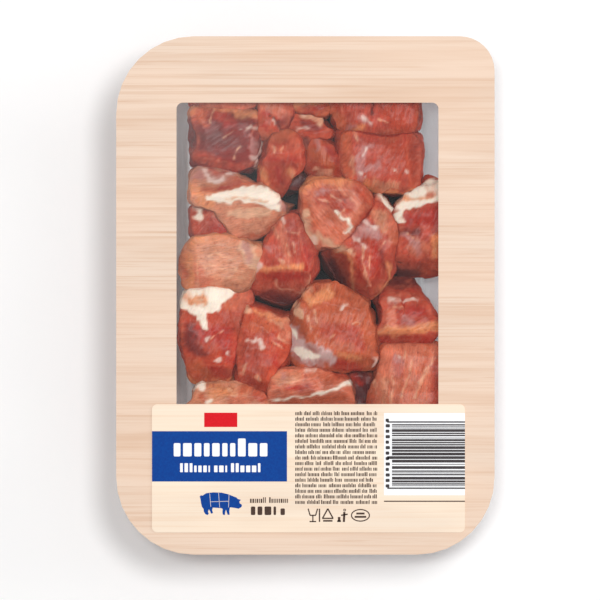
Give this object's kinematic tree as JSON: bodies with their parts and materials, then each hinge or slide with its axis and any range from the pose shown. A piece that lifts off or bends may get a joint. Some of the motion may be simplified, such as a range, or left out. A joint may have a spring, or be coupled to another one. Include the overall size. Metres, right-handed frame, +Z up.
{
  "type": "meat tray pack",
  "caption": "Clear sealed tray of diced pork under a wood-grain printed film with a window, and a paper label near one end.",
  "frame": {"origin": "middle of the tray's underside, on the surface that the pack rests on", "axes": "+Z up through the film lid, +Y along the pack towards the end with the window, +X across the pack to the right as seen from above"},
  "size_m": [0.1368, 0.1874, 0.0454],
  "materials": {
    "clear_plastic": "clear, glossy",
    "absorbent_pad": "matt, dark",
    "pork": "moist raw meat",
    "clear_film": "clear, glossy",
    "printed_wood": "satin printed film",
    "label_paper": "coated paper, satin"
  },
  "bodies": {
    "root": {"tray": "clear_plastic", "absorbent_pad": "absorbent_pad", "meat_ribbed_slab": "pork", "meat_fat_ridge": "pork", "meat_bright_block": "pork", "meat_marbled_square": "pork", "meat_orange_face": "pork", "meat_ridged_red": "pork", "meat_top_pair": "pork", "meat_marbled_long": "pork", "meat_fat_banded": "pork", "meat_trapezoid": "pork", "meat_left_dark": "pork", "meat_centre_left": "pork", "meat_striped": "pork", "meat_top_left": "pork", "meat_wedge": "pork", "meat_small_orange": "pork", "meat_brown_block": "pork", "meat_white_edge": "pork", "meat_behind_edge": "pork", "meat_behind_left": "pork", "meat_under_ridge": "pork", "meat_deep_maroon": "pork", "meat_white_line": "pork", "meat_deep_slot": "pork", "meat_pale_low": "pork", "meat_hidden_1": "pork", "meat_hidden_2": "pork", "meat_hidden_3": "pork", "meat_hidden_4": "pork", "lid_film": "clear_film", "printed_sheet": "printed_wood", "label": "label_paper"}
  },
  "joints": []
}
